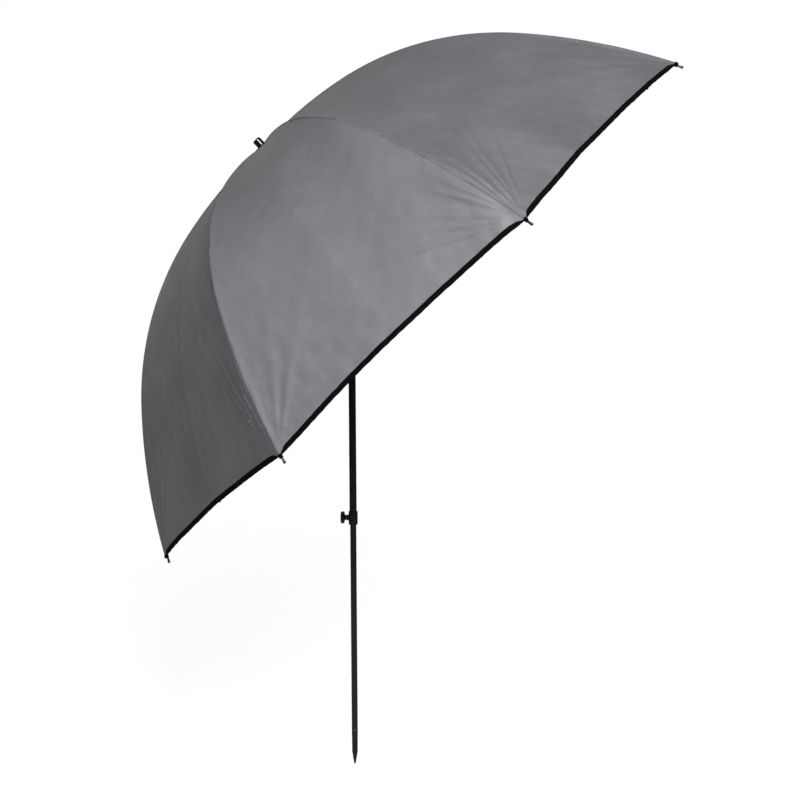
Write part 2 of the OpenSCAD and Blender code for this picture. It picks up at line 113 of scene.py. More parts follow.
@dataclass(frozen=True)
class Finish:
    """A surface with a fine mottle in its colour, its gloss and its height, and painted shade that darkens the colour
    in the relief's hollows.

    The mottle is a noise whose grain is given in millimetres, stretched along the axes.
    """

    name: str
    dark: str
    light: str
    roughness: float
    roughness_swing: float = 0.08
    metallic: float = 0.0
    ior: float = 1.5
    coat: float = 0.0
    coat_roughness: float = 0.2
    sheen: float = 0.0
    sheen_roughness: float = 0.5
    grain_mm: float = 1.0
    stretch: tuple[float, float, float] = (1.0, 1.0, 1.0)
    bump_mm: float = 0.02
    bump_strength: float = 0.5
    mottle_mm: float = 60.0
    place: Place = Place.OBJECT

    def relief(self, tree: bpy.types.NodeTree, where: bpy.types.NodeSocket) -> bpy.types.NodeSocket:
        """Makes the surface's height as a number: a noise at the grain's own scale.

        Args:
            tree: The material's node tree.
            where: Position that the pattern is read at, in metres.

        Returns:
            The height, in parts of bump_mm.
        """
        scale = 1000 / self.grain_mm
        noise = add(tree, "ShaderNodeTexNoise", {"Vector": where, "Scale": scale, "Detail": 3.0})
        return noise.outputs[0]

    def build(self) -> bpy.types.Material:
        """Makes the material.

        Returns:
            The node material.
        """
        material = bpy.data.materials.new(self.name)
        material.use_nodes = True
        tree = material.node_tree
        tree.nodes.clear()
        source = add(tree, "ShaderNodeTexCoord").outputs[self.place.value]
        where = add(tree, "ShaderNodeMapping", {"Vector": source, "Scale": self.stretch}).outputs[0]
        spread = 1000 / self.mottle_mm
        mottle = add(tree, "ShaderNodeTexNoise", {"Vector": source, "Scale": spread, "Detail": 4.0})
        height = self.relief(tree, where)
        # The colour also follows the relief: crests are painted lighter and hollows darker, a painted shade in the
        # hollows over the random mottle.
        mottle_and_painted_shade = add(
            tree,
            "ShaderNodeMath",
            {0: add(
                tree, "ShaderNodeMath", {0: height, 1: 0.35}, operation="MULTIPLY",
            ).outputs[0], 1: mottle.outputs[0]},
            operation="ADD",
        )
        colour = add(tree, "ShaderNodeValToRGB", {0: mottle_and_painted_shade.outputs[0]})
        stops = colour.color_ramp.elements
        stops[0].position, stops[0].color = 0.35, linear(self.dark)
        stops[1].position, stops[1].color = 0.95, linear(self.light)
        gloss = add(
            tree,
            "ShaderNodeMapRange",
            {
                0: mottle.outputs[0],
                1: 0.3,
                2: 0.7,
                3: self.roughness - self.roughness_swing,
                4: self.roughness + self.roughness_swing,
            },
        )
        bump = add(
            tree,
            "ShaderNodeBump",
            {"Height": height, "Distance": self.bump_mm * MM, "Strength": self.bump_strength},
        )
        shader = add(
            tree,
            "ShaderNodeBsdfPrincipled",
            {
                "Base Color": colour.outputs[0],
                "Roughness": gloss.outputs[0],
                "Normal": bump.outputs[0],
                "Metallic": self.metallic,
                "IOR": self.ior,
                "Coat Weight": self.coat,
                "Coat Roughness": self.coat_roughness,
                "Sheen Weight": self.sheen,
                "Sheen Roughness": self.sheen_roughness,
            },
        )
        add(tree, "ShaderNodeOutputMaterial", {"Surface": shader.outputs[0]})
        return material


@dataclass(frozen=True)
class WovenFinish(Finish):
    """Cloth on its own UV map in metres: threads across and along, over a crumple that handling leaves."""

    thread_mm: float = 1.6
    thread_part: float = 0.12
    crumple_mm: float = 22.0
    crease_mm: float = 90.0
    crease_part: float = 0.22
    place: Place = Place.UV

    def relief(self, tree: bpy.types.NodeTree, where: bpy.types.NodeSocket) -> bpy.types.NodeSocket:
        """Adds two crossed wave patterns, the warp and the weft, to a soft crumple.

        Args:
            tree: The material's node tree.
            where: Position on the cloth, in metres.

        Returns:
            The height, in parts of bump_mm.
        """
        # A wave repeats every 2 pi / 20 units of scale, so this scale gives one thread each thread_mm
        scale = 2 * pi / 20 / (self.thread_mm * MM)
        total = add(
            tree,
            "ShaderNodeTexNoise",
            {"Vector": where, "Scale": 1000 / self.crumple_mm, "Detail": 5.0, "Distortion": 0.6},
        ).outputs[0]
        # Folding leaves sharp faint creases: the ridges lie where a broad noise crosses its middle value
        broad = add(
            tree,
            "ShaderNodeTexNoise",
            {"Vector": where, "Scale": 1000 / self.crease_mm, "Detail": 2.0, "Distortion": 0.8},
        ).outputs[0]
        off = add(tree, "ShaderNodeMath", {0: broad, 1: 0.5}, operation="SUBTRACT").outputs[0]
        away = add(tree, "ShaderNodeMath", {0: off}, operation="ABSOLUTE").outputs[0]
        ridge = add(
            tree, "ShaderNodeMapRange", {0: away, 1: 0.0, 2: 0.05, 3: self.crease_part, 4: 0.0},
        ).outputs[0]
        total = add(tree, "ShaderNodeMath", {0: total, 1: ridge}, operation="ADD").outputs[0]
        for axis in ("X", "Y"):
            wave = add(tree, "ShaderNodeTexWave", {"Vector": where, "Scale": scale}, bands_direction=axis)
            thread = add(
                tree, "ShaderNodeMath", {0: wave.outputs[1], 1: self.thread_part},
                operation="MULTIPLY",
            )
            total = add(tree, "ShaderNodeMath", {0: total, 1: thread.outputs[0]}, operation="ADD").outputs[0]
        return total


@dataclass(frozen=True)
class StitchedFinish(Finish):
    """Sewn tape on its own UV map in metres: a fine rib across it and rows of lock stitch along it."""

    rib_mm: float = 1.5
    stitch_mm: float = 3.0
    row_mm: float = 6.0
    place: Place = Place.UV

    def relief(self, tree: bpy.types.NodeTree, where: bpy.types.NodeSocket) -> bpy.types.NodeSocket:
        """Multiplies a wave along the tape by a wave across it, which leaves stitches in rows, over the ribbing.

        Args:
            tree: The material's node tree.
            where: Position on the tape, in metres.

        Returns:
            The height, in parts of bump_mm.
        """
        factor = 2 * pi / 20 / MM
        along = add(
            tree, "ShaderNodeTexWave", {"Vector": where, "Scale": factor / self.stitch_mm},
            bands_direction="X",
        )
        across = add(
            tree, "ShaderNodeTexWave", {"Vector": where, "Scale": factor / self.row_mm},
            bands_direction="Y",
        )
        ribbing = add(
            tree, "ShaderNodeTexWave", {"Vector": where, "Scale": factor / self.rib_mm},
            bands_direction="X",
        )
        stitch = add(
            tree, "ShaderNodeMath", {0: along.outputs[1], 1: across.outputs[1]},
            operation="MULTIPLY",
        )
        soft = add(tree, "ShaderNodeMath", {0: ribbing.outputs[1], 1: 0.3}, operation="MULTIPLY")
        return add(
            tree, "ShaderNodeMath", {0: stitch.outputs[0], 1: soft.outputs[0]}, operation="ADD",
        ).outputs[0]


class Look(Enum):
    """Every finish on the umbrella."""

    # Plain-weave polyester, polyurethane coated: an even satin grey with a soft sheen. The real
    # threads are 0.3 mm apart, so they are drawn coarser than life.
    CLOTH = WovenFinish(
        "coated_polyester_outside", "#7c7b80", "#88878c", 0.5, metallic=0.45, bump_mm=1.4,
        bump_strength=0.6, sheen=0.12, ior=1.46, mottle_mm=220, roughness_swing=0.05,
    )
    # The coated side of the same cloth: darker and a little glossier.
    LINING = WovenFinish(
        "coated_polyester_inside", "#4f4f53", "#5a5a5f", 0.4, bump_mm=0.5, bump_strength=0.3,
        ior=1.48, mottle_mm=260, roughness_swing=0.06,
    )
    # Two layers of the cloth turned and topstitched: the same grey on its ridges and stitches, with painted shade
    # that darkens it in its grooves and folds.
    SEAM = StitchedFinish(
        "topstitched_seam", "#4c4b50", "#8a898f", 0.5, bump_mm=0.35, bump_strength=0.6, sheen=0.1,
        rib_mm=1.2, row_mm=3.2,
    )
    # Woven polyester tape, black: matt, with a fine cross rib.
    TAPE = StitchedFinish(
        "woven_black_tape", "#030303", "#080808", 0.85, ior=1.2, bump_mm=0.35, bump_strength=0.7,
    )
    # Powder-coated steel tube: satin black with a faint orange peel.
    TUBE = Finish(
        "powder_coated_steel_tube", "#060607", "#0a0a0b", 0.36, coat=0.12, coat_roughness=0.3,
        grain_mm=1.4, bump_mm=0.03, mottle_mm=90,
    )
    # Stoved enamel on spring-steel rod: thinner and glossier than the tubes.
    ROD = Finish(
        "enamelled_steel_rod", "#0e0e10", "#1b1b1e", 0.28, coat=0.3, coat_roughness=0.2,
        grain_mm=1.0, bump_mm=0.015, mottle_mm=50,
    )
    # Pultruded glass fibre: satin black, with fibres that run along the rod.
    FIBRE = Finish(
        "pultruded_glass_fibre", "#0f0f11", "#202023", 0.42, grain_mm=0.9, bump_mm=0.02,
        mottle_mm=40,
    )
    # Moulded nylon: deep black with a fine spark-eroded grain.
    NYLON = Finish(
        "moulded_nylon", "#070708", "#0e0e0f", 0.5, grain_mm=0.7, bump_mm=0.06, mottle_mm=25,
    )
    # Polished moulding: hard black gloss that takes a sharp highlight.
    GLOSS = Finish(
        "polished_black_moulding", "#060607", "#0e0e10", 0.14, roughness_swing=0.04, coat=0.6,
        coat_roughness=0.06, grain_mm=2.5, bump_mm=0.01, mottle_mm=20,
    )
    # Zinc-plated steel: grey metal with short drawn streaks.
    ZINC = Finish(
        "zinc_plated_steel", "#8d9094", "#b7babd", 0.36, metallic=1.0, grain_mm=0.8,
        stretch=(1.0, 1.0, 0.2), bump_mm=0.02, mottle_mm=12,
    )
    # Turned brass: warm metal with faint tool rings.
    BRASS = Finish(
        "turned_brass", "#9a7a3c", "#c9a662", 0.3, metallic=1.0, grain_mm=0.6,
        stretch=(1.0, 0.2, 0.2), bump_mm=0.02, mottle_mm=9,
    )
    # Acetal: milky white and slightly waxy.
    ACETAL = Finish(
        "white_acetal", "#d6d5cf", "#eceae4", 0.4, grain_mm=1.2, bump_mm=0.02, mottle_mm=15,
    )


class Wardrobe:
    """Builds each finish once and hands it out."""

    def __init__(self) -> None:
        """Starts with nothing built."""
        self._made: dict[Look, bpy.types.Material] = {}

    def get(self, look: Look) -> bpy.types.Material:
        """Gives the material for a finish, built at its first use."""
        if look not in self._made:
            self._made[look] = look.value.build()
        return self._made[look]


# ---------------------------------------------------------------- mesh helpers


def grid_faces(rows: int, cols: int, closed: bool = False) -> Array:
    """Numbers the faces of a grid of points laid out row by row.

    Face (i, j) joins points (i, j), (i, j + 1), (i + 1, j + 1) and (i + 1, j).

    Args:
        rows: Number of rows.
        cols: Number of columns.
        closed: Whether the last column joins the first.

    Returns:
        One row of four point numbers for each face.
    """
    across = cols if closed else cols - 1
    i, j = np.meshgrid(np.arange(rows - 1), np.arange(across), indexing="ij")
    k = (j + 1) % cols
    return np.stack([i * cols + j, i * cols + k, (i + 1) * cols + k, (i + 1) * cols + j], -1).reshape(-1, 4)


def put_mesh(
    name: str,
    points: Array,
    faces: list,
    materials: list[bpy.types.Material],
    layout: Array | None = None,
    slots: Array | None = None,
) -> bpy.types.Object:
    """Makes one object at the origin from points and faces.

    Args:
        name: The piece's name.
        points: Positions in metres, one row each.
        faces: Point numbers of each face, outward.
        materials: The piece's materials.
        layout: Place of each point on the flat cloth, in metres, kept as a UV map.
        slots: Number of the material of each face.

    Returns:
        The new object.
    """
    mesh = bpy.data.meshes.new(name)
    mesh.from_pydata(points.tolist(), [], faces)
    for material in materials:
        mesh.materials.append(material)
    mesh.polygons.foreach_set("use_smooth", np.ones(len(mesh.polygons), bool))
    if slots is not None:
        mesh.polygons.foreach_set("material_index", slots.astype(np.int32))
    if layout is not None:
        corner = np.empty(len(mesh.loops), np.int32)
        mesh.loops.foreach_get("vertex_index", corner)
        uv = mesh.uv_layers.new(name="cloth")
        uv.data.foreach_set("uv", layout[corner].astype(np.float32).ravel())
    mesh.update()
    mesh.set_sharp_from_angle(angle=radians(40))
    made = bpy.data.objects.new(name, mesh)
    bpy.context.scene.collection.objects.link(made)
    log.info("%s: %d faces", name, len(mesh.polygons))
    return made


def sleeve(rings: Array) -> tuple[Array, list]:
    """Joins a stack of closed rings into a closed solid with a flat or pointed end at each end.

    Each end is a fan from the middle of its ring.

    Args:
        rings: Ring points, shaped (rings, points in a ring, 3).

    Returns:
        The points and the faces, turned to face outwards.
    """
    count, around = rings.shape[:2]
    points = np.concatenate([rings.reshape(-1, 3), rings[:1].mean(1), rings[-1:].mean(1)])
    first, last = count * around, count * around + 1
    faces = grid_faces(count, around, closed=True).tolist()
    j = np.arange(around)
    k = (j + 1) % around
    faces += np.stack([np.full(around, first), k, j], -1).tolist()
    top = (count - 1) * around
    faces += np.stack([np.full(around, last), top + j, top + k], -1).tolist()
    quads = grid_faces(count, around, closed=True)
    a, b, c, d = (points[quads[:, n]] for n in range(4))
    middle = points.mean(0)
    volume = (np.cross(c - a, d - b) * ((a + b + c + d) / 4 - middle)).sum()
    if volume < 0:
        faces = [f[::-1] for f in faces]
    return points, faces


# ---------------------------------------------------------------- the umbrella's own shape


@dataclass(frozen=True)
class RibCurve:
    """The open curve of a rib and its gores: three tangent arcs, flat crown to straighter skirt."""

    reach: float = 1.06
    crown_radius: float = 1.368 * 1.06
    shoulder_radius: float = 0.867 * 1.06
    breaks: tuple[float, float, float] = (radians(14), radians(48), radians(62))
    rib_depth: float = 8 * MM

    @property
    def skirt_radius(self) -> float:
        """Radius of the last arc, which makes the hem land on the canopy's radius."""
        a, b, c = self.breaks
        inner = self.crown_radius * sin(a) + self.shoulder_radius * (sin(b) - sin(a))
        return (self.reach - inner) / (sin(c) - sin(b))

    @property
    def stations(self) -> tuple[float, float, float]:
        """Distance over the cloth from the crown to the end of each arc."""
        a, b, c = self.breaks
        first = self.crown_radius * a
        second = first + self.shoulder_radius * (b - a)
        return first, second, second + self.skirt_radius * (c - b)

    def slope(self, along: Array) -> Array:
        """Slope of the curve, in radians, at a distance over the cloth from the crown."""
        return np.interp(along, (0.0, *self.stations), (0.0, *self.breaks))

    def profile(self, slope: Array, depth: Array | float) -> tuple[Array, Array]:
        """Place on the curve, moved inwards by a depth.

        The point is the arc's centre plus its radius less the depth, times the sine of the slope
        outwards and its cosine upwards.

        Args:
            slope: Slope in radians.
            depth: Distance in from the outer face.

        Returns:
            Distance out from the shaft and height above the crown.
        """
        a, b, _ = self.breaks
        crown_up = -self.crown_radius
        gap = self.crown_radius - self.shoulder_radius
        shoulder = gap * sin(a), crown_up + gap * cos(a)
        turn = self.shoulder_radius - self.skirt_radius
        skirt = shoulder[0] + turn * sin(b), shoulder[1] + turn * cos(b)
        picks = [slope <= a, slope <= b]
        out = np.select(picks, [0.0, shoulder[0]], skirt[0])
        up = np.select(picks, [crown_up, shoulder[1]], skirt[1])
        bend = np.select(picks, [self.crown_radius, self.shoulder_radius], self.skirt_radius) - depth
        return out + bend * np.sin(slope), up + bend * np.cos(slope)


class Head:
    """The umbrella's head as the joints place it: tilt pin, shaft direction and the eight rib planes."""

    CROWN_HEIGHT = 383 * MM

    def __init__(self, joints: list[dict]) -> None:
        """Reads the axes.

        Args:
            joints: The frame's joints.
        """
        by_name = {joint["name"]: joint for joint in joints}
        self.pin = np.array(by_name["head_tilt"]["pos_m"], float)
        shaft = -np.array(by_name["runner_slide"]["axis"], float)
        self.up = shaft / np.linalg.norm(shaft)
        hinge = np.array([by_name[f"rib_{k}_fold"]["axis"] for k in range(1, RIBS + 1)], float)
        self.across = hinge / np.linalg.norm(hinge, axis=1, keepdims=True)
        self.out = np.cross(self.across, self.up)
        self.crown = self.pin + self.CROWN_HEIGHT * self.up

    def on_rib(self, rib: int, out: Array, up: Array, side: Array | float = 0.0) -> Array:
        """Point in a rib's plane, from its distance out, height above the crown and offset across."""
        side = np.broadcast_to(side, np.shape(out))
        return (
            self.crown
            + np.multiply.outer(out, self.out[rib])
            + np.multiply.outer(up, self.up)
            + np.multiply.outer(side, self.across[rib])
        )


@dataclass
class TipFolds:
    """Folds that fan from a rib tip, where the hem's pull gathers the cloth."""

    angle: Array
    width: Array
    height: Array
    length: Array
    curl: Array

    @classmethod
    def draw(cls, rng: np.random.Generator, count: int, span: tuple[float, float], strength: float) -> "TipFolds":
        """Draws a fan of folds: the first lies nearest the hem and the last nearest the rib.

        Args:
            rng: Seeded random numbers.
            count: How many folds.
            span: Angles of the first and the last fold from the hem's line, in radians.
            strength: Height of the folds, in parts of a full fold.

        Returns:
            The fan.
        """
        even = np.linspace(*span, count)
        step = (span[1] - span[0]) / count
        return cls(
            even + rng.uniform(-0.3, 0.3, count) * step,
            rng.uniform(0.24, 0.4, count) * step,
            rng.uniform(2.5, 5.0, count) * MM * strength,
            rng.uniform(0.3, 0.45, count),
            rng.uniform(-0.12, 0.12, count),
        )

    def lift(self, reach: Array, turn: Array) -> Array:
        """Height of the folds at a distance and an angle from the tip.

        Each fold is a crest with a shallower hollow on each side, a bell curve of the angle. It
        grows over the first few centimetres and dies away over its length.

        Args:
            reach: Distance from the tip.
            turn: Angle from the hem's line, in radians.

        Returns:
            Height along the cloth's normal.
        """
        total = np.zeros_like(reach)
        for angle, width, height, length, curl in zip(
            self.angle, self.width, self.height, self.length, self.curl,
        ):
            q = (turn - angle - curl * reach) / width
            crest = np.exp(-q * q) - 0.5 * np.exp(-((q - 1.7) ** 2)) - 0.3 * np.exp(-((q + 1.6) ** 2))
            grow = 1 - np.exp(-((reach / 0.11) ** 2))
            total += height * crest * grow * np.exp(-((reach / length) ** 3))
        return total


class GoreCloth:
    """The shape of one gore: flat across between its ribs, drawn in a little, with folds and puckers."""

    CLOTH_DEPTH = 1.2 * MM
    HEM_HOLLOW = 17 * MM
    DRAW_IN = 15 * MM
    TIE = 10 * MM
    # Each gore's two fans, at its first rib's tip and at its next one's: folds, angles and strength
    FANS = (
        ((4, (0.6, 1.25), 0.5), (5, (0.6, 1.3), 0.8)),
        ((5, (0.7, 1.3), 0.8), (4, (0.6, 1.25), 0.5)),
        ((4, (0.7, 1.3), 0.6), (5, (0.6, 1.3), 0.7)),
        ((5, (0.6, 1.3), 0.7), (4, (0.8, 1.3), 0.6)),
        ((4, (0.8, 1.3), 0.4), (4, (1.02, 1.33), 0.7)),
        ((3, (0.8, 1.3), 0.4), (6, (0.55, 1.3), 0.85)),
        ((5, (0.8, 1.32), 1.0), (3, (0.7, 1.25), 0.4)),
        ((4, (0.6, 1.3), 0.7), (5, (0.7, 1.3), 0.8)),
    )

    def __init__(self, head: Head, curve: RibCurve, number: int) -> None:
        """Sets out the gore between rib `number` and the next one, both counted from 0.

        Args:
            head: The head's axes.
            curve: The rib's curve.
            number: The gore's number.
        """
        self.head, self.curve, self.number = head, curve, number
        here, there = head.out[number], head.out[(number + 1) % RIBS]
        self.middle = (here + there) / np.linalg.norm(here + there)
        self.along_hem = (there - here) / np.linalg.norm(there - here)
        self.length = curve.stations[2]
        rng = np.random.default_rng(510 + number)
        self.fans = [TipFolds.draw(rng, *fan) for fan in self.FANS[number]]
        self.broad = self._waves(rng, 7, (0.18, 0.42), 1.1 * MM, 0.45)
        self.fine = self._waves(rng, 14, (0.035, 0.1), 0.2 * MM, 1.0)
        self.pucker_phase = rng.uniform(0, 2 * pi, 6)

    @staticmethod
    def _waves(
        rng: np.random.Generator, count: int, lengths: tuple[float, float], height: float, lengthwise: float
    ) -> Array:
        """Draws plane waves: one row each of the two wave numbers, the phase and the height."""
        number = 2 * pi / rng.uniform(*lengths, count)
        heading = rng.normal(0, 0.6 * lengthwise, count)
        return np.stack(
            [number * np.cos(heading), number * np.sin(heading) * lengthwise, rng.uniform(0, 2 * pi, count),
             height * rng.uniform(0.5, 1.0, count)]
        )

    def hem_at(self, side: Array) -> Array:
        """Distance from the crown to the hem: full at the ribs, hollowed between them by a parabola."""
        return self.length - self.HEM_HOLLOW * (1 - side**2)

    def relief(self, along: Array, side: Array) -> Array:
        """Height of the folds and puckers over the smooth gore, zero along both ribs.

        Args:
            along: Distance from the crown.
            side: Place across, from -1 at the first rib to 1 at the next.

        Returns:
            Height along the outward normal.
        """
        out, _ = self.curve.profile(self.curve.slope(along), 0.0)
        half = out * sin(HALF_GORE)
        x = side * half
        near = [(1 + side) * half, (1 - side) * half]
        tied = (1 - np.exp(-((near[0] / self.TIE) ** 2))) * (1 - np.exp(-((near[1] / self.TIE) ** 2)))
        total = np.zeros_like(x)
        for group in (self.broad, self.fine):
            for a, b, phase, height in group.T:
                total += height * np.sin(a * x + b * along + phase)
        total *= np.clip(along / 0.35, 0, 1)
        total += 1.1 * MM * np.exp(-np.abs(x) / 0.016) * np.clip(along / 0.3, 0, 1)
        edge = self.hem_at(side) - along
        p = self.pucker_phase
        ripple = np.sin(2 * pi * along / 0.024 + 1.8 * np.sin(along / 0.07 + p[0]) + p[1])
        for distance, phase in zip(near, (p[2], p[3])):
            swell = 0.55 + 0.45 * np.sin(along / 0.09 + phase)
            total += 0.5 * MM * swell * ripple * np.exp(-distance / 0.026)
        gather = np.sin(2 * pi * x / 0.03 + 1.5 * np.sin(x / 0.05 + p[4]) + p[5])
        total += 0.55 * MM * gather * np.exp(-edge / 0.028)
        corner = self.curve.reach * sin(HALF_GORE)
        for fan, sign in zip(self.fans, (1, -1)):
            aside = corner + sign * x
            back = self.length - along
            total += fan.lift(np.hypot(aside, back), np.arctan2(back, aside))
        return total * tied

    def place(self, along: Array, side: Array, lift: Array | float = 0.0) -> tuple[Array, Array]:
        """Point of the cloth's outer face and the direction out of it.

        The gore is straight across from rib to rib. It is then drawn in by a parabola, deepest
        half way down, and raised by its relief.

        Args:
            along: Distance from the crown.
            side: Place across, -1 to 1.
            lift: Extra height along the normal.

        Returns:
            Points and unit normals.
        """
        slope = self.curve.slope(along)
        out, up = self.curve.profile(slope, self.CLOTH_DEPTH)
        normal = np.multiply.outer(np.sin(slope), self.middle) + np.multiply.outer(
            np.cos(slope) * cos(HALF_GORE), self.head.up
        )
        normal /= np.linalg.norm(normal, axis=-1, keepdims=True)
        draw = self.DRAW_IN * np.sin(pi * np.clip(along / self.length, 0, 1) ** 0.8) * (1 - side**2)
        height = self.relief(along, side) - draw + lift
        point = (
            self.head.crown
            + np.multiply.outer(out * cos(HALF_GORE), self.middle)
            + np.multiply.outer(out * sin(HALF_GORE), self.along_hem) * side[..., None]
            + np.multiply.outer(up, self.head.up)
        )
        return point + normal * height[..., None], normal

    def flat(self, along: Array, side: Array) -> Array:
        """Place on the flat cloth: distance across and distance down, in metres."""
        out, _ = self.curve.profile(self.curve.slope(along), 0.0)
        return np.stack([side * out * sin(HALF_GORE), along], -1)


# ---------------------------------------------------------------- sewn pieces


@dataclass
class Canopy:
    """The cloth: sixteen half gores, their hem binding and the eight seam welts."""

    head: Head
    curve: RibCurve
    wardrobe: Wardrobe
    rows: int = 250
    cols: int = 50
    cloth: float = 0.8 * MM
    binding_width: float = 14 * MM
    binding_proud: float = 0.7 * MM
    seam_half: float = 3.4 * MM
    blend_reach: float = 0.27
    hole: float = 11 * MM
    gores: list[GoreCloth] = field(default_factory=list)

    def build(self) -> None:
        """Sews the whole canopy."""
        self.gores = [GoreCloth(self.head, self.curve, k) for k in range(RIBS)]
        for gore in self.gores:
            for first in (True, False):
                self.half(gore, first)
        for rib in range(RIBS):
            self.seam(rib)

    def half(self, gore: GoreCloth, first: bool) -> None:
        """Makes one half gore with its binding.

        Args:
            gore: The gore's shape.
            first: Whether the half lies beside the gore's first rib.
        """
        rib = gore.number if first else (gore.number + 1) % RIBS
        letter = "a" if first else "b"
        name = f"gore_{gore.number + 1}{letter}"
        # Columns crowd towards the rib and rows towards the hem, where the folds are narrow
        t = np.linspace(0, 1, self.cols) ** 1.65
        side = -1 + t if first else 1 - t[::-1]
        u = np.linspace(0, 1, self.rows)
        u = u + 0.115 * np.sin(pi * u)
        v = np.broadcast_to(side, (self.rows, self.cols))
        along = self.hole + (gore.hem_at(v) - self.hole) * u[:, None]
        outer, normal = gore.place(along, v)
        inner = outer - normal * self.cloth
        top = grid_faces(self.rows, self.cols)[:, ::-1]
        count = self.rows * self.cols
        index = np.arange(count).reshape(self.rows, self.cols)
        loop = np.concatenate([index[0, :-1], index[:-1, -1], index[-1, :0:-1], index[:0:-1, 0]])
        ahead = np.roll(loop, -1)
        rim = np.stack([loop, ahead, ahead + count, loop + count], -1)
        faces = np.concatenate([top, top[:, ::-1] + count, rim])
        slots = np.concatenate([np.zeros(len(top)), np.ones(len(top)), np.zeros(len(rim))])
        flat = gore.flat(along, v).reshape(-1, 2)
        piece = put_mesh(
            name,
            np.concatenate([outer.reshape(-1, 3), inner.reshape(-1, 3)]),
            faces.tolist(),
            [self.wardrobe.get(Look.CLOTH), self.wardrobe.get(Look.LINING)],
            np.concatenate([flat, flat]),
            slots,
        )
        tape = self.binding(gore, side, f"binding_{gore.number + 1}{letter}")
        inward = Vector(self.head.across[rib]) * (1 if first else -1)
        inward *= 1 if inward.dot(Vector(gore.middle)) > 0 else -1
        for part, slot in ((piece, "grey_cloth"), (tape, "black_cloth")):
            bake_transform(part)
        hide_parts("canopy")
        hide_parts("hem_binding")
        steps = np.linspace(0, gore.length, 400)
        across = self.curve.profile(self.curve.slope(steps), 0.0)[0] * sin(HALF_GORE)

    def binding(self, gore: GoreCloth, side: Array, name: str) -> bpy.types.Object:
        """Folds a tape over the hem: a rounded flat section carried along the edge.

        The section runs down the outer face, round the edge and back up the inner face. It
        narrows in the last few centimetres before the tip.

        Args:
            gore: The gore's shape.
            side: Places across at which the cloth has its columns.
            name: The piece's name.

        Returns:
            The tape.
        """
        fine = np.interp(np.linspace(0, len(side) - 1, 4 * len(side)), np.arange(len(side)), side)
        # Half of the tape's section, in parts of its width and of half its thickness, then mirrored
        back = np.array([0.97, 1.0, 0.98, 0.72, 0.42, 0.14, 0.0, -0.06, -0.09])
        high = np.array([0.25, 0.55, 0.9, 1.0, 1.0, 1.0, 0.95, 0.7, 0.0])
        back = np.concatenate([back, back[-2::-1]])
        high = np.concatenate([high, -high[-2::-1]])
        thick = self.cloth / 2 + self.binding_proud
        gap = (1 - np.abs(fine)) * self.curve.reach * sin(HALF_GORE)
        width = self.binding_width * (1 - 0.85 * np.exp(-((gap / 0.016) ** 2)))
        v = np.broadcast_to(fine[:, None], (len(fine), len(back)))
        along = gore.hem_at(v) - width[:, None] * back
        points, normal = gore.place(along, v)
        points = points + normal * (thick * high - self.cloth / 2)[None, :, None]
        vertices, faces = sleeve(points)
        distance = fine * self.curve.reach * sin(HALF_GORE)
        round_it = np.cumsum(np.abs(np.diff(back, prepend=back[0]))) * self.binding_width
        layout = np.stack(np.broadcast_arrays(distance[:, None], round_it[None, :]), -1).reshape(-1, 2)
        layout = np.concatenate([layout, layout[:1], layout[-1:]])
        return put_mesh(name, vertices, faces, [self.wardrobe.get(Look.TAPE)], layout)

    def seam(self, rib: int) -> None:
        """Lays the welt over a rib: two soft ridges with a stitched groove between them.

        The welt follows the gore on each side of the rib, so its middle sits on the crease.

        Args:
            rib: The rib's number from 0.
        """
        along = np.linspace(46 * MM, self.curve.stations[2] - 5 * MM, 420)
        slope = self.curve.slope(along)
        out, up = self.curve.profile(slope, GoreCloth.CLOTH_DEPTH)
        spine = self.head.on_rib(rib, out, up)
        normal = np.multiply.outer(np.sin(slope), self.head.out[rib]) + np.multiply.outer(np.cos(slope), self.head.up)
        # The welt's section: two ridges and the groove on top, then its flat underside
        x = np.array([0.08, 0.26, 0.5, 0.72, 0.92, 1.0])
        h = np.array([0.3, 0.66, 0.8, 0.72, 0.42, 0.0])
        x = np.concatenate([-x[::-1], [0.0], x, [0.6, 0.0, -0.6]])
        h = np.concatenate([h[::-1], [0.22], h, [-0.45, -0.35, -0.45]])
        taper = np.clip((along - along[0]) / 0.03, 0.45, 1)
        ahead = self.gores[rib].along_hem
        behind = -self.gores[rib - 1].along_hem
        lateral = np.where(x[:, None] > 0, ahead, behind) * np.abs(x)[:, None] * self.seam_half
        wobble = 1 + 0.08 * np.sin(along / 0.011 + rib) * np.sin(along / 0.037 + 2 * rib)
        rings = (
            spine[:, None, :]
            + lateral[None] * (taper * wobble)[:, None, None]
            + normal[:, None, :] * (h * 0.95 * MM)[None, :, None]
        )
        vertices, faces = sleeve(rings)
        layout = np.stack(
            np.broadcast_arrays(along[:, None], (x * self.seam_half)[None, :]), -1,
        ).reshape(-1, 2)
        layout = np.concatenate([layout, layout[:1], layout[-1:]])
        piece = put_mesh(f"seam_{rib + 1}", vertices, faces, [self.wardrobe.get(Look.SEAM)], layout)
        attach(piece, f"rib_{rib + 1}")


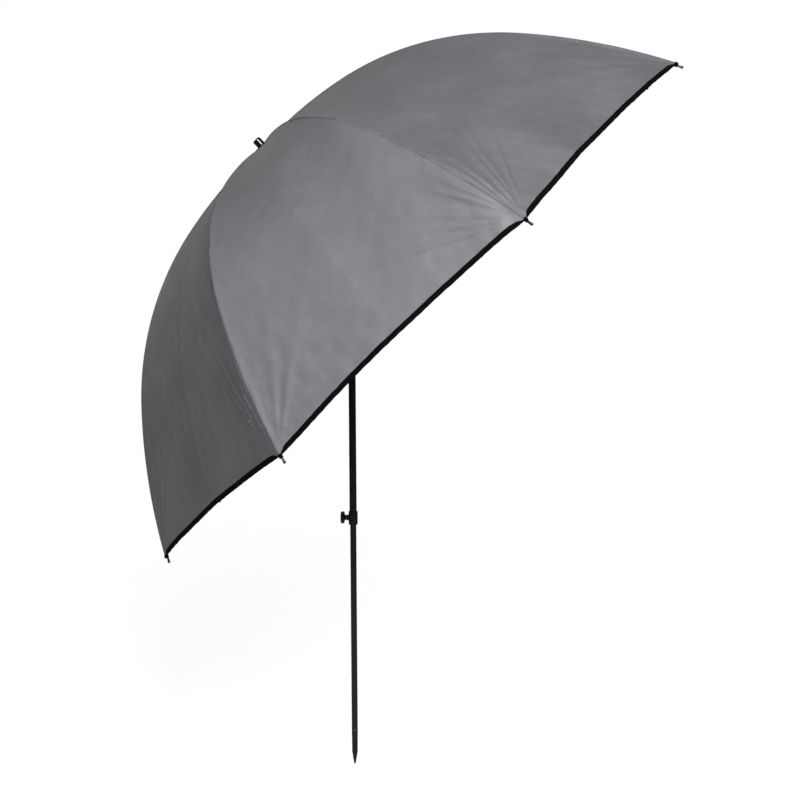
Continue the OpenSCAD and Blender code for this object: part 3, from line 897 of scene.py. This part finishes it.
@dataclass
class RibTrim:
    """What joins the cloth to a rib: a collar at the tip and four ties along it."""

    head: Head
    curve: RibCurve
    wardrobe: Wardrobe
    collar_back: float = 8 * MM
    collar_front: float = 5 * MM
    collar_side: float = 4.7 * MM
    collar_high: float = 6.5 * MM
    collar_depth: float = 5.6 * MM
    tie_at: tuple[float, ...] = (0.2, 0.6, 0.78, 1.1)
    tie_width: float = 7 * MM
    tie_depth: float = 6.6 * MM

    def frame_at(self, rib: int, along: float, depth: float) -> tuple[Array, Array, Array]:
        """Point under the cloth at a rib, with the directions along the rib and out of the cloth."""
        slope = self.curve.slope(np.array(along))
        out, up = self.curve.profile(slope, depth)
        forward = cos(slope) * self.head.out[rib] - sin(slope) * self.head.up
        outward = sin(slope) * self.head.out[rib] + cos(slope) * self.head.up
        return self.head.on_rib(rib, out, up), forward, outward

    def build(self) -> None:
        """Makes the trim of every rib."""
        for rib in range(RIBS):
            for piece in (self.collar(rib), self.ties(rib)):
                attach(piece, f"rib_{rib + 1}")

    def collar(self, rib: int) -> bpy.types.Object:
        """Makes the tip collar: an oval ring stack whose ends are rounded by a quarter wave."""
        origin, forward, outward = self.frame_at(rib, self.curve.stations[2], self.collar_depth)
        t = np.linspace(0, 1, 19)
        distance = -self.collar_back + (self.collar_back + self.collar_front) * t
        size = np.sqrt(np.clip(1 - np.abs(2 * t - 1) ** 5, 0.04, 1)) * (1 + 0.06 * np.cos(6 * pi * t))
        turn = np.linspace(0, 2 * pi, 36, endpoint=False)
        ring = (
            np.multiply.outer(np.cos(turn) * self.collar_side, self.head.across[rib])
            + np.multiply.outer(np.sin(turn) * self.collar_high, outward)
        )
        rings = origin + np.multiply.outer(distance, forward)[:, None] + ring[None] * size[:, None, None]
        vertices, faces = sleeve(rings)
        layout = np.stack(
            np.broadcast_arrays(distance[:, None], (turn * self.collar_side)[None]), -1,
        ).reshape(-1, 2)
        layout = np.concatenate([layout, layout[:1], layout[-1:]])
        return put_mesh(f"tip_collar_{rib + 1}", vertices, faces, [self.wardrobe.get(Look.TAPE)], layout)

    def ties(self, rib: int) -> bpy.types.Object:
        """Makes the ties: each a flat tape bent to an oval loop that holds the rib to the seam."""
        turn = np.linspace(0, 2 * pi, 41)[:-1]
        section = np.array([[-0.5, -1], [-0.42, 1], [0.0, 1.25], [0.42, 1], [0.5, -1], [0.0, -1]])
        all_points, all_faces, base = [], [], 0
        for along in self.tie_at:
            origin, forward, outward = self.frame_at(rib, along, self.tie_depth)
            loops = []
            for shift, proud in section:
                side = np.cos(turn) * (2.9 * MM + 0.3 * MM * proud)
                high = np.sin(turn) * (3.9 * MM + 0.3 * MM * proud)
                loops.append(
                    origin
                    + forward * shift * self.tie_width
                    + np.multiply.outer(side, self.head.across[rib])
                    + np.multiply.outer(high, outward)
                )
            grid = np.stack(loops + loops[:1])
            faces = grid_faces(len(section) + 1, len(turn), closed=True)
            faces = np.where(faces >= len(section) * len(turn), faces - len(section) * len(turn), faces)
            points = grid[:-1].reshape(-1, 3)
            a, b, c, d = (points[faces[:, n]] for n in range(4))
            volume = (np.cross(c - a, d - b) * ((a + b + c + d) / 4 - origin)).sum()
            outward_faces = faces if volume > 0 else faces[:, ::-1]
            all_faces += (outward_faces + base).tolist()
            all_points.append(points)
            base += len(points)
        points = np.concatenate(all_points)
        return put_mesh(
            f"rib_ties_{rib + 1}", points, all_faces, [self.wardrobe.get(Look.TAPE)], points[:, :2],
        )


@dataclass
class CrownDisc:
    """The round patch over the crown: a thin domed disc with a rolled edge and a ring of stitches."""

    head: Head
    curve: RibCurve
    wardrobe: Wardrobe
    radius: float = 42 * MM
    hole: float = 8.3 * MM
    thick: float = 1.5 * MM

    def build(self) -> None:
        """Makes the disc: rings whose height is the dome's, less a groove with stitches in it."""
        flat_part = np.linspace(self.hole, self.radius - 1.2 * MM, 40)
        r = np.concatenate([flat_part, self.radius - np.array([0.7, 0.3, 0.08, 0.0]) * MM])
        turn = np.linspace(0, 2 * pi, 360, endpoint=False)
        dome = -(r**2) / (2 * self.curve.crown_radius)
        edge = np.clip((r - (self.radius - 1.2 * MM)) / (1.2 * MM), 0, 1)
        groove = np.exp(-(((r - 36.5 * MM) / (0.9 * MM)) ** 2))
        stitch = 0.5 + 0.5 * np.cos(turn * 72)
        top = (
            dome[:, None]
            + 0.3 * MM
            + self.thick * np.sqrt(1 - 0.85 * edge**2)[:, None]
            - 0.25 * MM
            - 0.4 * MM * groove[:, None] * (1 - 0.8 * stitch)[None]
            + 0.12 * MM * np.sin(3 * turn)[None] * (r / self.radius)[:, None] ** 2
        )
        under = np.broadcast_to(dome[::-1, None] + 0.05 * MM, top.shape)
        radii = np.concatenate([r, r[::-1], r[:1]])
        height = np.concatenate([top, under, top[:1]])
        across = np.multiply.outer(np.cos(turn), self.head.out[0]) + np.multiply.outer(np.sin(turn), self.head.across[0])
        points = self.head.crown + radii[:, None, None] * across[None] + np.multiply.outer(height, self.head.up)
        rows = len(radii) - 1
        faces = grid_faces(rows + 1, len(turn), closed=True)
        faces = np.where(faces >= rows * len(turn), faces - rows * len(turn), faces)
        flat = points[:-1].reshape(-1, 3)
        a, b, c, d = (flat[faces[:, n]] for n in range(4))
        volume = (np.cross(c - a, d - b) * ((a + b + c + d) / 4 - self.head.crown)).sum()
        faces = faces if volume > 0 else faces[:, ::-1]
        layout = (radii[:-1, None, None] * np.stack([np.cos(turn), np.sin(turn)], -1)[None]).reshape(-1, 2)
        piece = put_mesh("crown_disc", flat, faces.tolist(), [self.wardrobe.get(Look.TAPE)], layout)
        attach(piece, "head")
        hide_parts("crown_patch")


class Hardware:
    """Dresses the hard parts, which keep the shapes that the CAD frame gives them."""

    FINISHES: dict[str, Look] = {
        "lower_pole": Look.TUBE,
        "upper_pole": Look.TUBE,
        "head_shaft": Look.TUBE,
        "ground_spike": Look.NYLON,
        "height_collar": Look.NYLON,
        "clamp_knob": Look.NYLON,
        "tilt_fork": Look.NYLON,
        "tilt_tongue": Look.NYLON,
        "crown_hub": Look.NYLON,
        "runner": Look.NYLON,
        "crown_cap": Look.GLOSS,
        "collar_insert": Look.BRASS,
        "pole_bush": Look.ACETAL,
        "clamp_pad": Look.ACETAL,
        "friction_washers": Look.ACETAL,
        "rib_bracket": Look.NYLON,
        "rib_tip": Look.GLOSS,
        "rib": Look.FIBRE,
        "stretcher": Look.ROD,
    }

    def __init__(self, nodes: dict[str, bpy.types.Object], wardrobe: Wardrobe) -> None:
        """Keeps the frame's nodes and the finishes.

        Args:
            nodes: The CAD nodes by name.
            wardrobe: The finishes.
        """
        self.nodes, self.wardrobe = nodes, wardrobe

    def dress(self) -> None:
        """Gives every node its finish; bright steel goes on pins, rivets, rings and springs."""
        for name, node in self.nodes.items():
            kind = name.rstrip("0123456789").rstrip("_")
            look = self.FINISHES.get(name, self.FINISHES.get(kind, Look.ZINC))
            material = self.wardrobe.get(look)
            node.data.materials.clear()
            node.data.materials.append(material)
            log.info("%s: %s", name, material.name)


# ---------------------------------------------------------------- studio


@dataclass
class Studio:
    """A pale floor, a white surround, soft lights and the camera."""

    floor_height: float = -40 * MM
    floor_radius: float = 9.0

    def build(self) -> None:
        """Sets up everything around the umbrella."""
        bpy.context.scene.view_settings.view_transform = "Standard"
        self.floor()
        self.surround()
        centre = Vector((0.0, 0.0, 1.45))
        self.lamp("key", centre, Vector((1.0, -3.6, 4.2)), 2.0, 181.0)
        self.lamp("rim", centre, Vector((-3.4, -1.2, 4.2)), 2.0, 28.0)
        self.lamp("fill", centre, Vector((-2.6, -4.2, 3.2)), 2.0, 37.0)
        self.lamp("back", centre, Vector((2.5, 4.5, 2.2)), 3.0, 60.0)
        self.camera()

    def floor(self) -> None:
        """Lays a round floor that fades into the surround towards its rim."""
        rings = np.array([0.0, 0.6, 1.2, 2.0, 3.0, 4.5, 6.5, 9.0]) / 9.0 * self.floor_radius
        turn = np.linspace(0, 2 * pi, 96, endpoint=False)
        grid = rings[1:, None, None] * np.stack([np.cos(turn), np.sin(turn), 0 * turn], -1)[None]
        points = np.concatenate([grid.reshape(-1, 3), np.zeros((1, 3))]) + [0, 0, self.floor_height]
        faces = grid_faces(len(rings) - 1, len(turn), closed=True)[:, ::-1].tolist()
        j = np.arange(len(turn))
        faces += np.stack([np.full(len(turn), len(points) - 1), j, (j + 1) % len(turn)], -1).tolist()
        material = bpy.data.materials.new("studio_floor")
        material.use_nodes = True
        tree = material.node_tree
        tree.nodes.clear()
        where = add(tree, "ShaderNodeTexCoord").outputs["Object"]
        length = add(tree, "ShaderNodeVectorMath", {0: where}, operation="LENGTH").outputs[1]
        fade = add(
            tree, "ShaderNodeMapRange", {0: length, 1: 1.2, 2: 4.5, 3: 0.0, 4: 1.0},
            interpolation_type="SMOOTHSTEP",
        )
        # The floor glows to the camera only, so its own light does not fill the shadows in the cloth
        seen = add(tree, "ShaderNodeLightPath").outputs["Is Camera Ray"]
        glow = add(tree, "ShaderNodeMapRange", {0: seen, 3: 0.0, 4: 0.8}).outputs[0]
        paint = add(
            tree,
            "ShaderNodeBsdfPrincipled",
            {"Base Color": linear("#d8d8d8"), "Roughness": 0.9, "Emission Color": (1, 1, 1, 1), "Emission Strength": glow},
        )
        clear = add(tree, "ShaderNodeBsdfTransparent")
        # The floor is clear from below, so that it never veils the underside of the umbrella
        below = add(tree, "ShaderNodeNewGeometry").outputs["Backfacing"]
        part = add(tree, "ShaderNodeMath", {0: fade.outputs[0], 1: below}, operation="MAXIMUM").outputs[0]
        mix = add(tree, "ShaderNodeMixShader", {0: part, 1: paint.outputs[0], 2: clear.outputs[0]})
        add(tree, "ShaderNodeOutputMaterial", {"Surface": mix.outputs[0]})
        put_mesh("floor", points, faces, [material])

    def surround(self) -> None:
        """Makes the surround white to look at and dimmer as a light, so that the lamps shape the cloth."""
        world = bpy.data.worlds.new("surround")
        world.use_nodes = True
        tree = world.node_tree
        tree.nodes.clear()
        seen = add(tree, "ShaderNodeLightPath").outputs["Is Camera Ray"]
        strength = add(tree, "ShaderNodeMapRange", {0: seen, 3: 0.04, 4: 1.0}).outputs[0]
        light = add(tree, "ShaderNodeBackground", {"Color": (1, 1, 1, 1), "Strength": strength})
        add(tree, "ShaderNodeOutputWorld", {"Surface": light.outputs[0]})
        bpy.context.scene.world = world

    def lamp(self, name: str, target: Vector, place: Vector, size: float, power: float) -> None:
        """Hangs a square soft light that faces a target."""
        data = bpy.data.lights.new(name, "AREA")
        data.size, data.energy = size, power
        lamp = bpy.data.objects.new(name, data)
        lamp.location = place
        lamp.rotation_euler = (target - place).to_track_quat("-Z", "Y").to_euler()
        bpy.context.scene.collection.objects.link(lamp)

    def camera(self) -> None:
        """Places the camera from its position, heading, pitch and roll, with a small shift."""
        place = Vector((0.3897, -4.3714, 1.7422))
        heading, pitch, roll = -0.0971, -0.1018, -0.0085
        forward = Vector((sin(heading) * cos(pitch), cos(heading) * cos(pitch), sin(pitch)))
        right = Vector((cos(heading), -sin(heading), 0.0))
        up = right.cross(forward)
        across = cos(roll) * right + sin(roll) * up
        up = cos(roll) * up - sin(roll) * right
        data = bpy.data.cameras.new("camera")
        data.sensor_width, data.lens = 36.0, 65.27
        data.shift_x, data.shift_y = 0.075, -0.075
        data.clip_start, data.clip_end = 0.05, 60.0
        camera = bpy.data.objects.new("camera", data)
        camera.matrix_world = Matrix.Translation(place) @ Matrix((across, up, -forward)).transposed().to_4x4()
        bpy.context.scene.collection.objects.link(camera)
        bpy.context.scene.camera = camera


def main() -> None:
    """Builds the umbrella and its studio in order."""
    logging.basicConfig(level=logging.INFO, format="%(name)s: %(message)s")
    wardrobe, curve, head = Wardrobe(), RibCurve(), Head(frame["joints"])
    Studio().build()
    Hardware(frame["nodes"], wardrobe).dress()
    for assembly in (
        Canopy(head, curve, wardrobe), RibTrim(head, curve, wardrobe),
        CrownDisc(head, curve, wardrobe),
    ):
        assembly.build()


if __name__ == "__main__":
    main()
